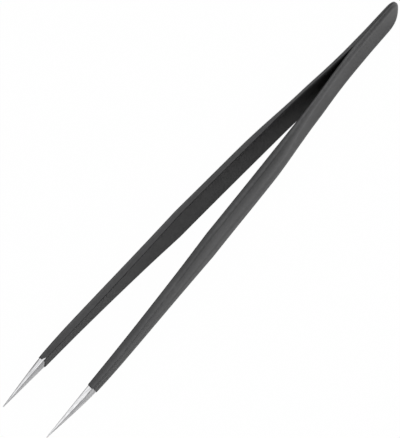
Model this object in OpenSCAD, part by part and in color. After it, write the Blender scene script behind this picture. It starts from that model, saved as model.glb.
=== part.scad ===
// Fine-point anti-static tweezers, lying on one side as they come to rest.
// Two long steel arms are spot-welded face to face at the tail, bow apart, and run out to needle points.
// One thin matte coat covers them both, all but the bare needles.
// +X points to the needles, +Y to the right arm and +Z up. The origin is on the surface below the middle.

/* [Overall] */
// Length from the coated tail to the needle points
length = 140; // [118:1:170]
// Width of the coated blade, from side to side
blade_w = 10.2; // [8.4:0.1:12.1]
// Gap between the two points when nobody squeezes the arms
opening = 12.3; // [9:0.05:15]

/* [Along the arm] */
// Length of the round end of the tail
tail_round = 4.05; // [3:0.05:6]
// How square the tail's outline is, where 2 is an ellipse
tail_power = 2.5; // [2:0.05:4]
// Distance from the tail to the end of the weld
weld_len = 10; // [7:0.5:12]
// Distance from the tail to where the coated gap opens
joint_len = 14; // [13:0.5:17]
// Distance from the tail to where the arms bow apart
bow_len = 24; // [20:0.5:29]
// Distance from the tail to the end of the thin spring stretch
spring_len = 35; // [31:0.5:42]
// Length over which the arm thickens from the spring to the grip
ramp_len = 20; // [14:0.5:21]
// Distance from the points back to the shoulder, where the blade starts to narrow
shoulder_len = 61; // [54:0.5:62]
// Distance from the points back to the waist, past the steep part of the taper
waist_len = 48; // [38:0.5:51]
// Distance from the points back to the neck, where the needle taper starts
neck_len = 26; // [21:0.5:31]
// Distance from the points back to the needle's root, about where the coat ends
bare_len = 15; // [10:0.5:17]

/* [Steel width] */
// Width at the waist
waist_w = 7.05; // [6.2:0.05:8]
// Width at the neck
neck_w = 3.95; // [3.5:0.05:4.8]
// Width at the needle's root
root_w = 3.1; // [2.7:0.05:3.5]
// Width of the needle point
point_w = 0.2; // [0.18:0.02:0.4]

/* [Steel thickness] */
// Full thickness at the tail end
tail_t = 0.3; // [0.26:0.01:0.5]
// Full thickness where the coated gap opens
joint_t = 0.81; // [0.7:0.01:1.1]
// Full thickness at the bow
bow_t = 0.67; // [0.6:0.01:0.9]
// Full thickness at the end of the spring stretch
spring_t = 0.85; // [0.75:0.01:1.1]
// Full thickness where the grip starts
grip_t = 1.95; // [1.6:0.01:2.2]
// Full thickness at the shoulder
shoulder_t = 1.75; // [1.6:0.01:2.2]
// Full thickness at the waist
waist_t = 1.8; // [1.6:0.01:2]
// Full thickness at the neck
neck_t = 1.8; // [1.72:0.01:2.1]
// Full thickness at the needle's root
root_t = 1.5; // [1.42:0.01:1.8]
// Full thickness of the needle point
point_t = 0.2; // [0.16:0.01:0.3]

/* [Steel side edges] */
// Height of the side edge at the tail end
tail_edge = 0.2; // [0.16:0.01:0.24]
// Height of the side edge where the coated gap opens
joint_edge = 0.35; // [0.25:0.01:0.5]
// Height of the side edge at the end of the spring stretch
spring_edge = 0.45; // [0.3:0.01:0.6]
// Height of the side edge where the grip starts
grip_edge = 1; // [0.8:0.01:1.2]
// Height of the side edge at the shoulder
shoulder_edge = 1.2; // [0.9:0.01:1.3]
// Height of the side edge at the waist
waist_edge = 1.4; // [1.1:0.01:1.5]
// Height of the side edge at the neck
neck_edge = 1.65; // [1.3:0.01:1.7]
// Height of the side edge at the needle's root
root_edge = 1.35; // [1:0.01:1.4]
// Height of the side edge at the needle point
point_edge = 0.1; // [0.07:0.01:0.12]

/* [Ground bevels] */
// Width of each bevel at the tail
tail_bevel = 0.6; // [0.4:0.05:0.9]
// Width of each bevel where the coated gap opens
joint_bevel = 0.7; // [0.5:0.05:1]
// Width of each bevel at the end of the spring stretch
spring_bevel = 0.85; // [0.6:0.05:1.2]
// Width of each bevel where the grip starts
grip_bevel = 1.5; // [1.1:0.05:1.8]
// Width of each bevel at the shoulder
shoulder_bevel = 1.8; // [1.3:0.05:2.1]
// Width of each bevel at the waist
waist_bevel = 1.4; // [1:0.05:1.7]
// Width of each bevel at the neck
neck_bevel = 0.7; // [0.5:0.05:0.9]
// Width of each bevel at the needle's root
root_bevel = 0.45; // [0.35:0.05:0.7]
// Width of each bevel at the needle point
point_bevel = 0.06; // [0.04:0.01:0.08]

/* [Rounding] */
// Rounding of the side edge's two corners, on the edge itself
edge_r = 0.2; // [0.1:0.01:0.25]
// How far the outer corner's rounding runs on to the bevel at the tail
tail_soft = 0.5; // [0.2:0.05:0.6]
// How far the outer corner's rounding runs on to the bevel along the spring stretch
spring_soft = 0.6; // [0.3:0.05:0.8]
// How far the outer corner's rounding runs on to the bevel from the grip on
grip_soft = 0.35; // [0.2:0.05:0.6]
// How far the inner corner's rounding runs down the inner face along the spring stretch
spring_inner = 0.7; // [0.3:0.05:0.9]
// How far the inner corner's rounding runs down the inner face from the grip on
grip_inner = 0.35; // [0.2:0.05:0.6]
// How far each bevel's upper ridge is rounded off on the bevel, under the coat
ridge_r = 1.4; // [0.4:0.1:1.6]
// How far each bevel's upper ridge is rounded off on the bevel, on the bare needle
needle_ridge_r = 0.3; // [0.1:0.05:0.5]

/* [Crown of the outer face] */
// How far the ridge's rounding runs on to the outer face at the tail
tail_crown = 0.6; // [0.3:0.1:1.2]
// How far the ridge's rounding runs on to the outer face at the end of the spring stretch
spring_crown = 0.9; // [0.4:0.1:1.8]
// How far the ridge's rounding runs on to the outer face where the grip starts
grip_crown = 1.3; // [0.5:0.1:2]
// How far the ridge's rounding runs on to the outer face at the shoulder
shoulder_crown = 1.4; // [0.6:0.1:2.4]
// How far the ridge's rounding runs on to the outer face at the waist
waist_crown = 1; // [0.5:0.1:2]
// How far the ridge's rounding runs on to the outer face at the neck
neck_crown = 0.6; // [0.3:0.1:1.2]
// How far the ridge's rounding runs on to the outer face at the needle's root
root_crown = 0.4; // [0.2:0.1:0.8]
// How far the ridge's rounding runs on to the outer face at the needle point
point_crown = 0.05; // [0.02:0.01:0.08]

/* [Opening curve] */
// Distance of the steel from the middle at the bow
bow_gap = 0.7; // [0.5:0.01:0.9]
// Distance of the steel from the middle at the end of the spring
spring_gap = 1.55; // [1.3:0.01:1.9]
// Distance of the steel from the middle where the grip starts
grip_gap = 2.8; // [2.5:0.01:3.2]
// Distance of the steel from the middle at the shoulder
shoulder_gap = 4.03; // [3.6:0.01:4.5]
// Distance of the steel from the middle at the neck
neck_gap = 5.46; // [5.1:0.01:5.9]
// Distance of the steel from the middle at the needle's root
root_gap = 5.83; // [5.4:0.01:6.3]

/* [Coat] */
// Thickness of the coat
coat_t = 0.15; // [0.1:0.01:0.2]
// How far past the needle's root the coat ends on the right arm's upper side
right_upper = 0.2; // [-1.5:0.1:1.8]
// How far past the needle's root the coat ends on the right arm's lower side
right_lower = -1.3; // [-1.5:0.1:1.8]
// How far past the needle's root the coat ends on the left arm's upper side
left_upper = 1.3; // [-1.5:0.1:1.8]
// How far past the needle's root the coat ends on the left arm's lower side
left_lower = 0.8; // [-1.5:0.1:1.8]
// Depth of the chip in the coat's end at the left arm's inner upper corner
left_chip = 0.7; // [0:0.1:1]
// Height of the ripples in the coat's end
ripple = 0.06; // [0:0.02:0.2]

/* [Hidden] */

// Stations along the arm, from the coated tail end
tail_x = tail_round + coat_t;
grip_x = spring_len + ramp_len;
shoulder_x = length - shoulder_len;
waist_x = length - waist_len;
neck_x = length - neck_len;
root_x = length - bare_len;
// The coat's uneven end lies between these two stations
fringe_start = root_x - 3;
fringe_end = root_x + 2.5;

// Each rule gives [distance from the tail, size] rows of the bare steel
taper_rule = [
    [shoulder_x, blade_w - 2 * coat_t],
    [waist_x, waist_w],
    [neck_x, neck_w],
    [root_x, root_w],
    [length, point_w]
];
gap_rule = [
    [0, 0],
    [weld_len, 0],
    [joint_len, coat_t],
    [bow_len, bow_gap],
    [spring_len, spring_gap],
    [grip_x, grip_gap],
    [shoulder_x, shoulder_gap],
    [neck_x, neck_gap],
    [root_x, root_gap],
    [length, opening / 2]
];
full_rule = [
    [0, tail_t],
    [joint_len, joint_t],
    [bow_len, bow_t],
    [spring_len, spring_t],
    [grip_x, grip_t],
    [shoulder_x, shoulder_t],
    [waist_x, waist_t],
    [neck_x, neck_t],
    [root_x, root_t],
    [length, point_t]
];
edge_rule = [
    [0, tail_edge],
    [joint_len, joint_edge],
    [spring_len, spring_edge],
    [grip_x, grip_edge],
    [shoulder_x, shoulder_edge],
    [waist_x, waist_edge],
    [neck_x, neck_edge],
    [root_x, root_edge],
    [length, point_edge]
];
bevel_rule = [
    [0, tail_bevel],
    [joint_len, joint_bevel],
    [spring_len, spring_bevel],
    [grip_x, grip_bevel],
    [shoulder_x, shoulder_bevel],
    [waist_x, waist_bevel],
    [neck_x, neck_bevel],
    [root_x, root_bevel],
    [length, point_bevel]
];
crown_rule = [
    [0, tail_crown],
    [spring_len, spring_crown],
    [grip_x, grip_crown],
    [shoulder_x, shoulder_crown],
    [waist_x, waist_crown],
    [neck_x, neck_crown],
    [root_x, root_crown],
    [length, point_crown]
];
soft_rule = [
    [0, tail_soft],
    [spring_len, spring_soft],
    [grip_x, grip_soft],
    [length, grip_soft]
];
inner_rule = [
    [0, spring_inner],
    [spring_len, spring_inner],
    [grip_x, grip_inner],
    [length, grip_inner]
];
// The ridges are wide and soft under the coat, and grow sharp where the needle is ground
ridge_rule = [
    [root_x - 1, ridge_r],
    [root_x + 4, needle_ridge_r]
];

// A smooth curve through a rule's rows that never swings past them: a cubic between two rows,
// whose slope at a row is the harmonic mean of the slopes on both sides, or none at a turn
function secant(rule, i) = (rule[i + 1][1] - rule[i][1]) / (rule[i + 1][0] - rule[i][0]);
function mean_slope(a, b) = a * b <= 0 ? 0 : 2 * a * b / (a + b);
function slope(rule, i) =
    i == 0 ? secant(rule, 0)
    : i == len(rule) - 1 ? secant(rule, i - 1)
    : mean_slope(secant(rule, i - 1), secant(rule, i));
function row_at(rule, x) = max([for (i = [0 : len(rule) - 2]) if (i == 0 || rule[i][0] <= x) i]);
function cubic(p, q, from, to, run, u) =
    p * (1 + 2 * u) * (1 - u) ^ 2 + from * run * u * (1 - u) ^ 2
    + q * (3 - 2 * u) * u ^ 2 - to * run * (1 - u) * u ^ 2;
function smooth(rule, x) =
    let (i = row_at(rule, x), run = rule[i + 1][0] - rule[i][0])
    cubic(rule[i][1], rule[i + 1][1], slope(rule, i), slope(rule, i + 1), run, (x - rule[i][0]) / run);

// Half the steel's width: straight to the shoulder, then the taper
function half_width(x) = (x <= shoulder_x ? blade_w / 2 - coat_t : smooth(taper_rule, x) / 2);

// How far the round tail end draws the section in towards the middle: a quarter of a rounded square,
// from 0 to 1
function tail_share(x, coat) =
    x >= tail_x ? 1 : (1 - ((tail_x - x) / (tail_round + coat)) ^ tail_power) ^ (1 / tail_power);

// Corners of the upper half of an arm's section, as [y, z]: inner edge, outer edge and ridge.
// The coat lies square on every face of the steel, so the corners move out by the mitre of both faces.
function corners(x, coat) =
    let (
        inner = smooth(gap_rule, x),
        edge = smooth(edge_rule, x),
        full = smooth(full_rule, x),
        run = smooth(bevel_rule, x),
        tilt = atan2(full - edge, run),
        half = half_width(x)
    )
    [
        [max(inner - coat, 0), half + coat],
        [inner + edge + coat * (1 - sin(tilt)) / cos(tilt), half + coat],
        [inner + full + coat, half - run + coat * tan(tilt / 2)]
    ];

// A corner rounded off by a parabola that leaves each side at its own distance from the corner
function unit(v) = v / norm(v);
function bend(a, corner, b, from_a, from_b, steps) =
    let (p = corner + from_a * unit(a - corner), q = corner + from_b * unit(b - corner))
    [for (s = [0 : steps]) let (u = s / steps) (1 - u) ^ 2 * p + 2 * u * (1 - u) * corner + u ^ 2 * q];

// The upper half section from the inner face to the outer flat.
// Where the arms lie against each other the inner edge isn't rounded, so both halves meet flush.
function half_section(x, coat) =
    let (
        c = corners(x, coat),
        middle = [c[2][0], 0],
        closed = x <= (coat > 0 ? joint_len : weld_len),
        third = c[0][1] / 3,
        r = min(edge_r + coat, (c[1][0] - c[0][0]) / 2.2, third),
        start = 0.1 + 1.5 * c[0][0],
        bevel = norm(c[2] - c[1]),
        soft = min(smooth(soft_rule, x), bevel / 2),
        ridge = coat > 0 ? ridge_r : lookup(x, ridge_rule),
        crown = min(smooth(crown_rule, x), 0.8 * c[2][1])
    )
    concat(
        closed ? [for (s = [0 : 2]) c[0] + [s * r / 2, 0]]
            : bend([c[0][0], 0], c[0], c[1], min(smooth(inner_rule, x), third, start), min(r, start), 2),
        bend(c[0], c[1], c[2], r, soft, 3),
        bend(c[1], c[2], middle, min(ridge, bevel - soft - 0.02), crown, 2)
    );
HALF = 10;
RING = 2 * HALF;
function ring(x, coat) =
    let (half = half_section(x, coat), share = tail_share(x, coat))
    [for (k = [0 : RING - 1]) let (p = half[k < HALF ? k : RING - 1 - k])
        [x, p[0], (k < HALF ? 1 : -1) * share * p[1]]];

// Where the sections stand: close together round the tail end, then evenly between the stations
function between(a, b, n) = [for (i = [1 : n]) a + (b - a) * i / n];
function tail_end(coat) = [for (a = [3, 10, 20, 32, 46, 62, 90])
    tail_x - (tail_round + coat) * cos(a) ^ (2 / tail_power)];
function coated_run(coat) = concat(
    tail_end(coat),
    between(tail_x, weld_len, 2),
    [joint_len],
    between(joint_len, bow_len, 4),
    between(bow_len, spring_len, 3),
    between(spring_len, grip_x, 6),
    between(grip_x, shoulder_x, 4),
    between(shoulder_x, waist_x, 5),
    between(waist_x, neck_x, 6),
    between(neck_x, fringe_start, 3)
);
bare_run = concat([fringe_end], between(fringe_end, length, 6));

// Faces between ring after ring, each quad as two triangles. The quads of the inner face are left out
// before the ring "open_at", where the two halves are one.
function turned(face, flip) = flip ? [face[0], face[2], face[1]] : face;
function skin(first, rings, open_at, flip) = [
    for (i = [0 : rings - 2], k = [0 : RING - 1]) if (k < RING - 1 || i >= open_at)
        let (a = first + i * RING + k, b = first + i * RING + (k + 1) % RING)
        each [turned([a, b, b + RING], flip), turned([a, b + RING, a + RING], flip)]
];
// A ring filled in as a fan from the end of its upper ridge
function cap(first, flip) = let (ridge = HALF - 1) [for (k = [1 : RING - 2])
    turned([first + ridge, first + (ridge + k) % RING, first + (ridge + k + 1) % RING], flip)];
// The end face of the coat, between its outer and its inner ring
function rim(outer, inner, flip) = [
    for (k = [0 : RING - 1])
        let (next = (k + 1) % RING, a = outer + k, b = outer + next, c = inner + next, d = inner + k)
        each [turned([a, b, c], flip), turned([a, c, d], flip)]
];

// The steel of the right arm, from the tail to the needle point
module arm() {
    sections = concat(coated_run(0), bare_run);
    rings = len(sections);
    polyhedron(
        points = [for (x = sections) each ring(x, 0)],
        faces = concat(cap(0, true), skin(0, rings, 0, false), cap((rings - 1) * RING, false))
    );
}

// The coat's end on each arm, as [upper side, lower side, chip]
right_end = [right_upper, right_lower, 0];
left_end = [left_upper, left_lower, left_chip];
// How far past the root the coat ends at point k of the ring, which starts at the inner face's top
function fringe(k, end) = let (turn = 360 * (k + 0.5) / RING)
    end[1] + (end[0] - end[1]) * (1 + sin(turn)) / 2 + ripple * sin(5 * turn) - (k < 3 ? end[2] : 0);
function end_ring(coat, end) =
    let (a = ring(fringe_start, coat), b = ring(fringe_end, coat))
    [for (k = [0 : RING - 1])
        let (u = (root_x + fringe(k, end) - fringe_start) / (fringe_end - fringe_start))
        a[k] * (1 - u) + b[k] * u];
// One side's surface of the coat: outside where "coat" is its thickness, against the steel where it is 0
function coat_side(coat, end, side) = [
    for (p = concat([for (x = coated_run(coat)) each ring(x, coat)], end_ring(coat, end)))
        [p[0], p[1] == 0 ? 0 : side * p[1], p[2]]
];
function index_of(list, x) = [for (i = [0 : len(list) - 1]) if (list[i] == x) i][0];

// The coat: one skin round both arms at the tail, which parts into two sleeves where the gap opens
module coat_shell() {
    rings = len(coated_run(0)) + 1;
    count = rings * RING;
    last = count - RING;
    outer_open = index_of(coated_run(coat_t), joint_len);
    inner_open = index_of(coated_run(0), weld_len);
    polyhedron(
        points = concat(
            coat_side(coat_t, right_end, 1), coat_side(0, right_end, 1),
            coat_side(coat_t, left_end, -1), coat_side(0, left_end, -1)
        ),
        faces = [for (s = [0, 1]) let (outer = 2 * s * count, inner = outer + count, left = s == 1)
            each concat(
                cap(outer, !left), skin(outer, rings, outer_open, left),
                cap(inner, left), skin(inner, rings, inner_open, !left),
                rim(outer + last, inner + last, left)
            )]
    );
}

// Sets the object down: middle of the length over the origin, lower side on the surface
module set_down() {
    translate([-length / 2, 0, blade_w / 2]) children();
}
module right_arm() {
    color([0.78, 0.79, 0.8]) set_down() arm();
}
module left_arm() {
    color([0.78, 0.79, 0.8]) set_down() mirror([0, 1, 0]) arm();
}
module coat() {
    color([0.24, 0.24, 0.25]) set_down() coat_shell();
}

right_arm();
left_arm();
coat();
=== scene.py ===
import math

import bpy
import numpy as np
from mathutils import Matrix, Vector


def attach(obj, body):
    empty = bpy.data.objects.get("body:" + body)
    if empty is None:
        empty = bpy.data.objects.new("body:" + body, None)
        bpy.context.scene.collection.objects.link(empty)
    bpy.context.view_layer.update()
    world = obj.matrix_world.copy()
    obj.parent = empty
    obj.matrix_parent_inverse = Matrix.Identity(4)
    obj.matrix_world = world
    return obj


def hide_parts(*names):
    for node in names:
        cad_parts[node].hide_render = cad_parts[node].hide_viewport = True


# Looks of a pair of fine-point anti-static tweezers. They lie on one side, with the points towards +X.
# Lengths are in millimetres from the coated tail, as in the CAD source, until a mesh is made.
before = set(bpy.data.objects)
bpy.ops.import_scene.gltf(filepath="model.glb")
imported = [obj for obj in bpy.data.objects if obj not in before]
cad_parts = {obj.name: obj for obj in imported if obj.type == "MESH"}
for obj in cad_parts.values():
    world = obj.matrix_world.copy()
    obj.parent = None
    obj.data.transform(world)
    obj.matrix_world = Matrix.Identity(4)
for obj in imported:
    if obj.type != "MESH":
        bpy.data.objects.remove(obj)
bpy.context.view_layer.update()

MM = 0.001

# Overall sizes
LENGTH = 140.0
BLADE_W = 10.2
OPENING = 12.3
COAT_T = 0.15

# Stations along an arm. JOINT_X, up to where the coat closes over both arms, is 14 in the CAD source.
TAIL_START = 4.2
WELD_X = 10.0
JOINT_X = 17.0
BOW_X = 24.0
SPRING_X = 35.0
GRIP_X = 55.0
SHOULDER_X = 79.0
WAIST_X = 92.0
NECK_X = 114.0
ROOT_X = 125.0
# Where the needle's ground bevel has its full width
GROUND_X = 127.5
# Between these the steel's ridge turns from wide, as it is under the coat, to sharp
WIDE_RIDGE_X = ROOT_X - 1
SHARP_RIDGE_X = ROOT_X + 4

# Each rule gives (station, size) rows of the bare steel. Where these differ from the CAD source, at the
# tail's end, in the gap and the steel's thickness round the bow, on the crown and on the needle's bevel,
# they follow the photograph inside the CAD model's box.
# Width of the blade past the shoulder
TAPER = [(SHOULDER_X, BLADE_W - 2 * COAT_T), (WAIST_X, 7.05), (NECK_X, 3.95), (ROOT_X, 3.1), (LENGTH, 0.2)]
# From the middle plane to the inner face
GAP = [(0, 0), (WELD_X, 0), (JOINT_X, COAT_T), (BOW_X, 0.55), (SPRING_X, 1.55), (GRIP_X, 2.8),
       (SHOULDER_X, 4.03), (NECK_X, 5.46), (ROOT_X, 5.83), (LENGTH, OPENING / 2)]
# Thickness in the middle of the blade, and at its side edge
FULL = [(0, 0.6), (JOINT_X, 0.88), (BOW_X, 0.82), (SPRING_X, 0.85), (GRIP_X, 1.95), (SHOULDER_X, 1.75),
        (WAIST_X, 1.8), (NECK_X, 1.8), (ROOT_X, 1.5), (LENGTH, 0.2)]
EDGE = [(0, 0.3), (JOINT_X, 0.42), (BOW_X, 0.5), (SPRING_X, 0.47), (GRIP_X, 1.0), (SHOULDER_X, 1.2),
        (WAIST_X, 1.4), (NECK_X, 1.65), (ROOT_X, 1.35), (GROUND_X, 0.98), (LENGTH, 0.1)]
# Width of the bevel between the two
BEVEL = [(0, 0.6), (JOINT_X, 0.7), (SPRING_X, 0.85), (GRIP_X, 1.5), (SHOULDER_X, 1.8), (WAIST_X, 1.4),
         (NECK_X, 0.7), (ROOT_X, 0.45), (GROUND_X, 0.19), (LENGTH, 0.06)]
# How far the rounding of the ridge runs on to the outer face
CROWN = [(0, 0.6), (SPRING_X, 1.1), (GRIP_X, 2.2), (SHOULDER_X, 2.4), (WAIST_X, 1.7), (NECK_X, 1.0),
         (ROOT_X, 0.5), (GROUND_X, 0.85), (LENGTH, 0.05)]
# How far the rounding of the side edge runs on to the bevel, and down the inner face
SOFT = [(0, 0.5), (SPRING_X, 0.6), (GRIP_X, 0.35), (LENGTH, 0.35)]
INNER_SOFT = [(0, 0.4), (SPRING_X, 0.7), (GRIP_X, 0.35), (LENGTH, 0.35)]
EDGE_R = 0.2
COAT_RIDGE_R = 1.4
STEEL_RIDGE_R = 0.3
# A turn takes up at most the side edge divided by SIDE_PARTS, the half width divided by WIDTH_PARTS and
# FACE_SHARE of the outer face, and it leaves BEVEL_LEFT of the bevel flat
SIDE_PARTS = 2.2
WIDTH_PARTS = 3
FACE_SHARE = 0.8
BEVEL_LEFT = 0.02
# How deep the coat dips over the seam between the two arms, and how fast that turn grows as the arms part
SEAM_DIP = 0.1
SEAM_GROWTH = 1.5
# The tail's outline is a rounded square of this power, where 2 is an ellipse and the CAD source has 2.5
TAIL_POWER = 2.7
# Rounding of the coat's end, and how far its inner side is sunk below the steel's surface
COAT_END_R = 0.25
SUNK = 0.02
# Length of the rounded needle point
POINT_R = 0.2
# Keeps this finer mesh inside the CAD model's box
INSET = 0.005

# Runs of rows along an arm, each (from, to, steps). The lining is the coat's inner side.
LAST_STRAIGHT = ROOT_X - 3
LAST_WIDE = ROOT_X - 4
JOINED_ROWS = [(TAIL_START, JOINT_X, 16)]
SLEEVE_ROWS = [(JOINT_X, BOW_X, 40), (BOW_X, GRIP_X, 60), (GRIP_X, LAST_STRAIGHT, 140)]
LINING_JOINED_ROWS = [(TAIL_START, WELD_X, 6)]
LINING_ROWS = [(WELD_X, GRIP_X, 30), (GRIP_X, LAST_STRAIGHT, 30)]
BLADE_ROWS = [(TAIL_START, GRIP_X, 40), (GRIP_X, LAST_WIDE, 40), (LAST_WIDE, LENGTH - POINT_R, 120)]
# Rows of the sleeve's last stretch, which lean towards its uneven end, of a rounded end, and of the sweep
# round the tail
LEANING_ROWS = 16
END_ROWS = 7
SWEEP_ROWS = 61
# Points of meshes that agree to this many digits of a millimetre are one
SAME_DIGITS = 5
TINY = 1e-9

# Points of a half section, as shares of each flat or turn
INNER_FLAT = np.array([0, 0.4, 0.75, 0.95])
TURN = np.linspace(0, 1, 6)
SIDE_FLAT = np.array([0.5])
BEVEL_FLAT = np.array([0.06, 0.35, 0.65, 0.94])
OUTER_FLAT = np.array([0.06, 0.5, 1])
HALF = len(INNER_FLAT) + 3 * len(TURN) + len(SIDE_FLAT) + len(BEVEL_FLAT) + len(OUTER_FLAT)
RING = 2 * HALF - 2
SEAM = len(INNER_FLAT)
# How worn each point of a half section is, which also paints a highlight: the paler colour stands partly
# for rubbed coat and partly for light caught on the edges. Most on the outer corner of the side edge, less
# on the ridge and on the side edge itself, and not at all on the faces
SIDE_WEAR_AND_HIGHLIGHT, CORNER_WEAR_AND_HIGHLIGHT, RIDGE_WEAR_AND_HIGHLIGHT = 0.5, 1.0, 0.6
WEAR_AND_HIGHLIGHT = np.concatenate([
    0 * INNER_FLAT, SIDE_WEAR_AND_HIGHLIGHT + 0 * TURN, SIDE_WEAR_AND_HIGHLIGHT + 0 * SIDE_FLAT, CORNER_WEAR_AND_HIGHLIGHT + 0 * TURN, 0 * BEVEL_FLAT,
    RIDGE_WEAR_AND_HIGHLIGHT + 0 * TURN, 0 * OUTER_FLAT])
RING_WEAR_AND_HIGHLIGHT = np.concatenate([WEAR_AND_HIGHLIGHT, WEAR_AND_HIGHLIGHT[-2:0:-1]])


def smooth(rule, x):
    """The rule's size at x: a cubic between two rows, whose slope at a row is the harmonic mean of
    the slopes on both sides, or none at a turn, so that the curve never swings past its rows."""
    at, size = np.array(rule, float).T
    run = np.diff(at)
    rise = np.diff(size) / run
    product = rise[:-1] * rise[1:]
    total = np.where(product > 0, rise[:-1] + rise[1:], 1)
    slope = np.concatenate([rise[:1], np.where(product > 0, 2 * product / total, 0), rise[-1:]])
    i = np.clip(np.searchsorted(at, x, side="right") - 1, 0, len(run) - 1)
    u = (x - at[i]) / run[i]
    return (size[i] * (1 + 2 * u) * (1 - u) ** 2 + slope[i] * run[i] * u * (1 - u) ** 2
            + size[i + 1] * (3 - 2 * u) * u ** 2 - slope[i + 1] * run[i] * (1 - u) * u ** 2)


def length_of(step):
    return np.linalg.norm(step, axis=-1)


def turn(a, corner, b, from_a, from_b):
    """A corner rounded off: the parabola that leaves each side at its own distance from the corner."""
    p = corner + (from_a / np.maximum(length_of(a - corner), TINY))[..., None] * (a - corner)
    q = corner + (from_b / np.maximum(length_of(b - corner), TINY))[..., None] * (b - corner)
    u = TURN[:, None]
    return ((1 - u) ** 2 * p[..., None, :] + 2 * u * (1 - u) * corner[..., None, :]
            + u ** 2 * q[..., None, :])


def flat(a, b, shares):
    """Points on the straight line from a to b, at these shares of its length."""
    return a[..., None, :] + shares[:, None] * (b - a)[..., None, :]


def half_section(x, coat, ridge_r):
    """The upper half of an arm's section at each x as [y, z] points, from the middle of the inner face
    round the side to the middle of the outer face. The corners of the bare steel move out by the mitre
    of the two faces when the coat lies on them."""
    inner, edge, full, run = (smooth(rule, x) for rule in (GAP, EDGE, FULL, BEVEL))
    half = np.where(x <= SHOULDER_X, BLADE_W / 2 - COAT_T, smooth(TAPER, np.maximum(x, SHOULDER_X)) / 2)
    tilt = np.arctan2(full - edge, run)
    face = np.maximum(inner - coat, 0)
    middle = np.zeros_like(face)
    inner_middle = np.stack([face, middle], -1)
    inner_corner = np.stack([face, half + coat], -1)
    side_corner = np.stack([inner + edge + coat * (1 - np.sin(tilt)) / np.cos(tilt), half + coat], -1)
    ridge = np.stack([inner + full + coat - INSET, half - run + coat * np.tan(tilt / 2)], -1)
    outer_middle = np.stack([ridge[..., 0], middle], -1)
    widest = inner_corner[..., 1] / WIDTH_PARTS
    opened = SEAM_DIP + SEAM_GROWTH * face
    r = np.minimum(EDGE_R + np.maximum(coat, 0), length_of(side_corner - inner_corner) / SIDE_PARTS)
    r = np.minimum(r, widest)
    r_inner = np.minimum(r, opened)
    r_down = np.minimum(np.minimum(smooth(INNER_SOFT, x), widest), opened)
    bevel = length_of(ridge - side_corner)
    r_soft = np.minimum(smooth(SOFT, x), bevel / 2)
    r_ridge = np.minimum(ridge_r, bevel - r_soft - BEVEL_LEFT)
    r_outer = np.minimum(smooth(CROWN, x), ridge[..., 1] * FACE_SHARE)
    inside = turn(inner_middle, inner_corner, side_corner, r_down, r_inner)
    outside = turn(inner_corner, side_corner, ridge, r, r_soft)
    crown = turn(side_corner, ridge, outer_middle, r_ridge, r_outer)
    return np.concatenate([
        flat(inner_middle, inside[..., 0, :], INNER_FLAT), inside,
        flat(inside[..., -1, :], outside[..., 0, :], SIDE_FLAT), outside,
        flat(outside[..., -1, :], crown[..., 0, :], BEVEL_FLAT), crown,
        flat(crown[..., -1, :], outer_middle, OUTER_FLAT)], -2)


def steel_ridge(x):
    """Rounding of the steel's ridges: wide under the coat, and sharp where the needle is ground."""
    return np.interp(x, [WIDE_RIDGE_X, SHARP_RIDGE_X], [COAT_RIDGE_R, STEEL_RIDGE_R])


def sleeve(x, coat, ridge_r=COAT_RIDGE_R):
    """Rings of [x, y, z] points round an arm. x and coat are grids of rows by ring points, and point k
    of a ring lies on the section at its own x, so that a ring may lean or run unevenly."""
    x, coat = np.broadcast_arrays(x, coat)
    half = half_section(x, coat, ridge_r)
    ring = np.concatenate([half, half[..., -2:0:-1, :] * [1, -1]], -2)
    k = np.arange(RING)
    own = ring[:, k, k, :]
    return np.concatenate([x[..., None], own], -1)


def tail_cap(coat, from_seam):
    """The round tail end: the half section at the end of the straight sides is swept half a turn round
    the middle of the blade. The circle of the sweep is pressed out to a rounded square, sine and cosine
    each to the power 2 / TAIL_POWER, and to the length of the tail end."""
    half = half_section(np.array([TAIL_START]), np.array([coat]), COAT_RIDGE_R)[0][from_seam:]
    angle = np.linspace(0, math.pi, SWEEP_ROWS)[:, None]
    power = 2 / TAIL_POWER
    back = np.abs(np.sin(angle)) ** power
    across = np.sign(np.cos(angle)) * np.abs(np.cos(angle)) ** power
    reach = (TAIL_START - INSET - COAT_T + coat) / (BLADE_W / 2 - COAT_T + coat)
    x = TAIL_START - half[:, 1] * reach * back
    k = np.arange(half.shape[0])
    thick = half_section(x, np.full_like(x, coat), COAT_RIDGE_R)[:, k, k + from_seam, 0]
    return np.stack([x, thick, half[:, 1] * across], -1)


def grid_faces(rows, columns, closed):
    """Quads over a grid of points that is numbered row by row. Closed joins the last column to the
    first."""
    i, k = np.meshgrid(np.arange(rows - 1), np.arange(columns if closed else columns - 1), indexing="ij")
    a, b = i * columns + k, i * columns + (k + 1) % columns
    return np.stack([a, a + columns, b + columns, b], -1).reshape(-1, 4)


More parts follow.
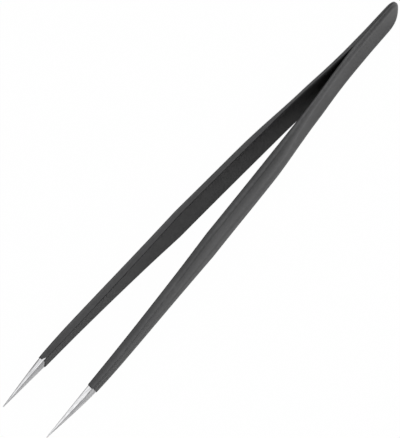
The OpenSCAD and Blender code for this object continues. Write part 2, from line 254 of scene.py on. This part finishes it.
def make_piece(name, patches, material):
    """One closed mesh from patches, each a grid of points, whether it closes on itself, whether its faces
    keep their order, and the wear and painted highlight of its columns. Points that fall together are made
    one, and a quad with two corners in one point becomes a triangle."""
    points, faces, wear_and_highlight, first = [], [], [], 0
    for grid, closed, keep, column_wear_and_highlight in patches:
        quads = grid_faces(len(grid), len(grid[0]), closed) + first
        faces.append(quads if keep else quads[:, ::-1])
        points.append(grid.reshape(-1, 3))
        wear_and_highlight.append(np.tile(column_wear_and_highlight, len(grid)))
        first += len(points[-1])
    points, wear_and_highlight = np.concatenate(points), np.concatenate(wear_and_highlight)
    rounded = np.round(points, SAME_DIGITS)
    one, place = np.unique(rounded, axis=0, return_index=True, return_inverse=True)[1:]
    faces = place.reshape(-1)[np.concatenate(faces)]
    doubled = faces == np.roll(faces, 1, axis=1)
    quads = faces[doubled.sum(1) == 0]
    thin = doubled.sum(1) == 1
    triangles = faces[thin][~doubled[thin]].reshape(-1, 3)
    mesh = bpy.data.meshes.new(name)
    placed = (points[one] - [LENGTH / 2, 0, -BLADE_W / 2]) * MM
    mesh.from_pydata(placed.tolist(), [], quads.tolist() + triangles.tolist())
    mesh.attributes.new("wear_and_highlight", "FLOAT", "POINT").data.foreach_set("value", wear_and_highlight[one].astype(np.float32))
    mesh.polygons.foreach_set("use_smooth", np.ones(len(mesh.polygons), bool))
    mesh.materials.append(material)
    piece = bpy.data.objects.new(name, mesh)
    bpy.context.scene.collection.objects.link(piece)
    return piece


def stations(runs):
    """Rows of x over (from, to, steps) runs. Each run but the first leaves out its first value, which
    the run before it ends on."""
    rows = [np.linspace(a, b, steps + 1) for a, b, steps in runs]
    return np.concatenate([rows[0], *(row[1:] for row in rows[1:])])


def upright(x):
    """The same x for every point of a ring, for each row."""
    return np.repeat(x[:, None], RING, 1)


def mirrored(patch, side):
    """The patch itself for side 1, and its mirror image across the middle plane for side -1."""
    grid, closed, keep, wear_and_highlight = patch
    return grid * [1, side, 1], closed, keep == (side > 0), wear_and_highlight


# Waves of the coat's end round a ring: how many, and how high beside the others
WAVES = [(5, 1.0), (9, 0.7), (14, 0.5)]


def coat_end(top, bottom, ripple, notches):
    """Where the coat ends at each ring point: from top to bottom over the width, with small waves round
    the ring, and bell-shaped notches of (place, depth, width). Places go from 0 in the middle of the
    inner face, over the top, to 1. The two ends also set where the waves begin, so that the arms differ."""
    ring = sleeve(np.full((1, RING), ROOT_X), 0.0)[0]
    steps = length_of(np.roll(ring, -1, axis=0) - ring)
    share = np.concatenate([[0], np.cumsum(steps)[:-1]]) / steps.sum()
    width = ring[:, 2]
    up = (width - width.min()) / np.ptp(width)
    begins = (top, 2 * bottom, 0)
    waves = sum(high * np.sin(number * 2 * math.pi * share + begin)
                for (number, high), begin in zip(WAVES, begins))
    end = bottom + (top - bottom) * up + ripple * waves
    for place, depth, wide in notches:
        away = np.abs(share - place)
        away = np.minimum(away, 1 - away)
        end = end - depth * np.exp(-(away / wide) ** 2)
    return end


def coat_patches(side, end):
    """One arm's half of the coat: round the tail, along the joined stretch, then the sleeve round the
    arm, whose end rounds down to the steel, and back along the inside."""
    share = np.linspace(0, 1, LEANING_ROWS)[1:, None]
    down = np.linspace(0, math.pi / 2, END_ROWS)[1:, None]
    opened = stations(SLEEVE_ROWS)
    rows = np.concatenate([
        upright(opened),
        LAST_STRAIGHT + (end - COAT_END_R - LAST_STRAIGHT) * share,
        end - COAT_END_R * (1 - np.sin(down))])
    thick = np.concatenate([np.full((len(opened) + len(share), 1), COAT_T), COAT_T * np.cos(down)])
    thick[-1] = -SUNK
    around = slice(SEAM, RING - SEAM + 1)
    joined = sleeve(upright(stations(JOINED_ROWS)), COAT_T)[:, around]
    lining_joined = sleeve(upright(stations(LINING_JOINED_ROWS)), -SUNK)[:, around]
    lining = sleeve(np.concatenate([upright(stations(LINING_ROWS)), end[None]]), -SUNK)
    return [mirrored(patch, side) for patch in (
        (tail_cap(COAT_T, SEAM), False, False, WEAR_AND_HIGHLIGHT[SEAM:]),
        (joined, False, True, RING_WEAR_AND_HIGHLIGHT[around]),
        (sleeve(rows, thick), True, True, RING_WEAR_AND_HIGHLIGHT),
        (tail_cap(-SUNK, SEAM), False, True, WEAR_AND_HIGHLIGHT[SEAM:]),
        (lining_joined, False, False, RING_WEAR_AND_HIGHLIGHT[around]),
        (lining, True, False, RING_WEAR_AND_HIGHLIGHT))]


def arm_patches(side):
    """One steel arm: round the tail, along the blade under the coat, then the bare needle, whose point
    is drawn in to its middle by a quarter circle."""
    rows = stations(BLADE_ROWS)
    blade = sleeve(upright(rows), 0.0, steel_ridge(rows)[:, None])
    last = blade[-1]
    middle = last.mean(0)
    angle = np.linspace(0, math.pi / 2, END_ROWS)[1:, None, None]
    point = middle + (last - middle) * np.cos(angle) + [POINT_R, 0, 0] * np.sin(angle)
    point[-1] = middle + [POINT_R, 0, 0]
    return [mirrored(patch, side) for patch in (
        (tail_cap(0.0, 0), False, False, WEAR_AND_HIGHLIGHT),
        (np.concatenate([blade, point]), True, True, RING_WEAR_AND_HIGHLIGHT))]


def linear(hex_colour):
    """An sRGB hex colour as linear red, green, blue and alpha."""
    value = np.array([int(hex_colour[i:i + 2], 16) for i in (1, 3, 5)]) / 255
    return [*np.where(value <= 0.04045, value / 12.92, ((value + 0.055) / 1.055) ** 2.4), 1.0]


def node(tree, kind, sockets=(), **settings):
    """Adds a node. A socket given a socket is linked to it, and one given a value is set."""
    made = tree.nodes.new(kind)
    for field, value in settings.items():
        setattr(made, field, value)
    for name, value in dict(sockets).items():
        if isinstance(value, bpy.types.NodeSocket):
            tree.links.new(value, made.inputs[name])
        else:
            made.inputs[name].default_value = value
    return made


def new_material(name):
    material = bpy.data.materials.new(name)
    material.use_nodes = True
    material.node_tree.nodes.clear()
    return material, material.node_tree


# The range in which most of a noise node's values lie, and plain white
LOW, HIGH = 0.3, 0.7
WHITE = (1, 1, 1, 1)
# Height of both finishes' bumps
BUMP = 0.02 * MM
# Grains of the powder are 0.05 mm and melt into a peel of about 0.4 mm. PEEL, at 0.45 mm, is two pixels
# here. SPECK and CLOUD are the sizes of the coat's small and large patches of tone.
PEEL, SPECK, CLOUD = 0.45 * MM, 0.9 * MM, 14 * MM
# Grinding lines of a fine wheel are 0.02 mm apart. They are drawn at 0.25 mm, which shows here, and 8 mm
# long, 32 times as long as wide.
GRINDING, STRETCHED = 0.25 * MM, (1 / 32, 1.0, 1.0)


# Epoxy powder coat with carbon in it, so that it leads static away: sprayed on, baked, and matte. The eye
# sees an even charcoal with a fine orange peel, and paler edges, partly where hands rub it and partly a
# painted highlight where the edges catch the light.
def baked_epoxy_coat():
    material, tree = new_material("epoxy powder coat, sprayed and baked")
    place = node(tree, "ShaderNodeTexCoord").outputs["Object"]
    wear_and_highlight = node(tree, "ShaderNodeAttribute", attribute_name="wear_and_highlight").outputs["Fac"]
    peel = node(tree, "ShaderNodeTexNoise", {"Vector": place, "Scale": 1 / PEEL, "Detail": 3.0})
    speck = node(tree, "ShaderNodeTexNoise", {"Vector": place, "Scale": 1 / SPECK, "Detail": 4.0})
    cloud = node(tree, "ShaderNodeTexNoise", {"Vector": place, "Scale": 1 / CLOUD, "Detail": 2.0})
    shade = node(tree, "ShaderNodeMapRange", {
        "Value": speck.outputs["Fac"], "From Min": LOW, "From Max": HIGH, "To Min": 0.0, "To Max": 0.3})
    tone = node(tree, "ShaderNodeMath", {0: shade.outputs[0], 1: cloud.outputs["Fac"]}, operation="ADD")
    sprayed = node(tree, "ShaderNodeMix", {
        0: tone.outputs[0], 6: linear("#1E1E1F"), 7: linear("#262627")}, data_type="RGBA")
    # Painted highlight: where the mesh marks the side edge, its outer corner and the ridge, the colour is
    # mixed towards a paler grey, which stands partly for rubbed coat and partly for light caught on those
    # edges.
    rubbed_and_highlit = node(tree, "ShaderNodeMath", {0: wear_and_highlight, 1: tone.outputs[0]}, operation="MULTIPLY")
    colour = node(tree, "ShaderNodeMix", {
        0: rubbed_and_highlit.outputs[0], 6: sprayed.outputs[2], 7: linear("#505051")}, data_type="RGBA")
    rough = node(tree, "ShaderNodeMapRange", {
        "Value": cloud.outputs["Fac"], "From Min": LOW, "From Max": HIGH, "To Min": 0.36, "To Max": 0.42})
    bump = node(tree, "ShaderNodeBump", {"Height": peel.outputs["Fac"], "Strength": 0.5, "Distance": BUMP})
    shader = node(tree, "ShaderNodeBsdfPrincipled", {
        "Base Color": colour.outputs[2], "Roughness": rough.outputs[0], "Normal": bump.outputs[0],
        "IOR": 1.45})
    node(tree, "ShaderNodeOutputMaterial", {"Surface": shader.outputs[0]})
    return material


# Stainless steel, ground lengthwise by hand to a needle: fine lines run along each facet, and it shines
# brightly across them.
def ground_stainless_steel():
    material, tree = new_material("stainless steel, ground lengthwise")
    place = node(tree, "ShaderNodeTexCoord").outputs["Object"]
    along = node(tree, "ShaderNodeMapping", {"Vector": place, "Scale": STRETCHED})
    lines = node(tree, "ShaderNodeTexNoise", {
        "Vector": along.outputs[0], "Scale": 1 / GRINDING, "Detail": 3.0})
    line = node(tree, "ShaderNodeMapRange", {
        "Value": lines.outputs["Fac"], "From Min": 0.35, "From Max": 0.65})
    colour = node(tree, "ShaderNodeMix", {
        0: line.outputs[0], 6: linear("#ACACAE"), 7: linear("#DEDEDF")}, data_type="RGBA")
    rough = node(tree, "ShaderNodeMapRange", {
        "Value": lines.outputs["Fac"], "From Min": LOW, "From Max": HIGH, "To Min": 0.1, "To Max": 0.2})
    bump = node(tree, "ShaderNodeBump", {"Height": lines.outputs["Fac"], "Strength": 0.4, "Distance": BUMP})
    shader = node(tree, "ShaderNodeBsdfPrincipled", {
        "Base Color": colour.outputs[2], "Metallic": 1.0, "Roughness": rough.outputs[0],
        "Normal": bump.outputs[0]})
    node(tree, "ShaderNodeOutputMaterial", {"Surface": shader.outputs[0]})
    return material


coat_finish = baked_epoxy_coat()
steel_finish = ground_stainless_steel()

# The coat's ends on the bare needles. The left one has a deeper chip and a shallow one.
RIGHT_END = coat_end(top=124.9, bottom=123.75, ripple=0.09, notches=[])
LEFT_END = coat_end(top=126.1, bottom=126.05, ripple=0.07, notches=[(0.2, 1.0, 0.035), (0.04, 0.4, 0.06)])
coat = make_piece("epoxy_coat", coat_patches(1, RIGHT_END) + coat_patches(-1, LEFT_END), coat_finish)
right_arm = make_piece("right_steel_arm", arm_patches(1), steel_finish)
left_arm = make_piece("left_steel_arm", arm_patches(-1), steel_finish)
for piece, part, finish in ((coat, "coat", "coat"), (right_arm, "right_arm", "steel"),
                            (left_arm, "left_arm", "steel")):
    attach(piece, "root")
    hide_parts(part)


# The camera stands where the photograph was taken from, about 740 mm away, with a long lens, and is then
# moved aside and down to frame the tweezers as the photograph does
AZIMUTH, ELEVATION, ROLL = math.radians(38.639), math.radians(59.04), math.radians(-0.947)
DISTANCE, LENS, SENSOR = 738.2, 263.5, 36.0
ASIDE, DOWN = 4.11, 2.585
CLIP_NEAR, CLIP_FAR = 0.05, 20


def photo_camera():
    """Looks back along the line from the middle of the blade at that azimuth and elevation, rolled, and
    then moved by the two offsets."""
    back = np.array([math.cos(ELEVATION) * math.cos(AZIMUTH), math.cos(ELEVATION) * math.sin(AZIMUTH),
                     math.sin(ELEVATION)])
    level = np.cross([0, 0, 1], back)
    level /= np.linalg.norm(level)
    up = np.cross(back, level)
    right = math.cos(ROLL) * level + math.sin(ROLL) * up
    top = -math.sin(ROLL) * level + math.cos(ROLL) * up
    place = (DISTANCE * back - ASIDE * right - DOWN * top + [0, 0, BLADE_W / 2]) * MM
    data = bpy.data.cameras.new("photo camera")
    data.sensor_width = data.sensor_height = SENSOR
    data.lens = LENS
    data.clip_start, data.clip_end = CLIP_NEAR, CLIP_FAR
    camera = bpy.data.objects.new("photo camera", data)
    turned = Matrix([[*row] for row in np.array([right, top, back]).T]).to_4x4()
    camera.matrix_world = Matrix.Translation(Vector(place)) @ turned
    bpy.context.scene.collection.objects.link(camera)
    bpy.context.scene.camera = camera


# The middle of the object, in metres, and each lamp's name, place, width, height and power
MIDDLE = Vector((0, 0, 0.005))
LAMPS = [("wide softbox beyond the tail", (-0.523, 0.244, 0.165), 0.3, 0.2, 1.1),
         ("small softbox at the left", (-0.287, 0.342, 0.401), 0.12, 0.12, 0.26)]


def soft_light(name, place, wide, high, power):
    """A rectangular area light that faces the middle of the object, and that the camera doesn't see."""
    data = bpy.data.lights.new(name, "AREA")
    data.shape = "RECTANGLE"
    data.size, data.size_y, data.energy = wide, high, power
    light = bpy.data.objects.new(name, data)
    light.location = place
    light.rotation_euler = (MIDDLE - Vector(place)).to_track_quat("-Z", "Y").to_euler()
    light.visible_camera = False
    bpy.context.scene.collection.objects.link(light)


# Sines of the heights where the overhead light begins and is full, and its full strength
SKY_FROM, SKY_FULL, SKY_TOP = 0.4, 1.0, 1.55
# How much of the plain white the camera sees in the room and on the floor, and reflections see in both
ROOM_SEEN, FLOOR_SEEN, REFLECTED = 1.0, 0.985, 0.04
# Half the table's side, in metres
TABLE_REACH = 3.0


def seen_white(tree, camera_share):
    """How much of the plain white a ray sees: the camera its own share, reflections and glass theirs."""
    rays = node(tree, "ShaderNodeLightPath").outputs
    reflected = node(tree, "ShaderNodeMath", {0: rays["Is Glossy Ray"], 1: rays["Is Transmission Ray"]})
    part = node(tree, "ShaderNodeMath", {0: reflected.outputs[0], 1: REFLECTED}, operation="MULTIPLY")
    share = node(tree, "ShaderNodeMath", {0: rays["Is Camera Ray"], 1: camera_share, 2: part.outputs[0]},
                 operation="MULTIPLY_ADD")
    return share.outputs[0]


def studio_room():
    """A dark room with a wide soft light overhead: nothing near the floor, then brighter upwards. The
    camera sees it white."""
    world = bpy.data.worlds.new("studio room")
    bpy.context.scene.world = world
    world.use_nodes = True
    tree = world.node_tree
    tree.nodes.clear()
    direction = node(tree, "ShaderNodeTexCoord").outputs["Generated"]
    height = node(tree, "ShaderNodeSeparateXYZ", {0: direction}).outputs["Z"]
    overhead = node(tree, "ShaderNodeMapRange", {
        "Value": height, "From Min": SKY_FROM, "From Max": SKY_FULL, "To Min": 0.0, "To Max": SKY_TOP})
    dark = node(tree, "ShaderNodeBackground", {"Color": WHITE, "Strength": overhead.outputs[0]})
    white = node(tree, "ShaderNodeBackground", {"Color": WHITE, "Strength": 1.0})
    shown = node(tree, "ShaderNodeMixShader", {
        0: seen_white(tree, ROOM_SEEN), 1: dark.outputs[0], 2: white.outputs[0]})
    node(tree, "ShaderNodeOutputWorld", {"Surface": shown.outputs[0]})


# White paper table. The camera sees nearly all of its white straight, so that the object's shadow stays
# faint, and reflections see a small part of it.
def white_floor():
    material, tree = new_material("white paper table")
    matte = node(tree, "ShaderNodeBsdfDiffuse", {"Color": linear("#F2F2F2")})
    glow = node(tree, "ShaderNodeEmission", {"Color": WHITE, "Strength": 1.0})
    dimmed = node(tree, "ShaderNodeMixShader", {
        0: seen_white(tree, FLOOR_SEEN), 1: matte.outputs[0], 2: glow.outputs[0]})
    node(tree, "ShaderNodeOutputMaterial", {"Surface": dimmed.outputs[0]})
    mesh = bpy.data.meshes.new("table")
    corners = [(TABLE_REACH * x, TABLE_REACH * y, 0) for x, y in ((-1, -1), (1, -1), (1, 1), (-1, 1))]
    mesh.from_pydata(corners, [], [(0, 1, 2, 3)])
    mesh.materials.append(material)
    floor = bpy.data.objects.new("table", mesh)
    bpy.context.scene.collection.objects.link(floor)


photo_camera()
for lamp in LAMPS:
    soft_light(*lamp)
studio_room()
white_floor()
bpy.context.scene.view_settings.view_transform = "Standard"
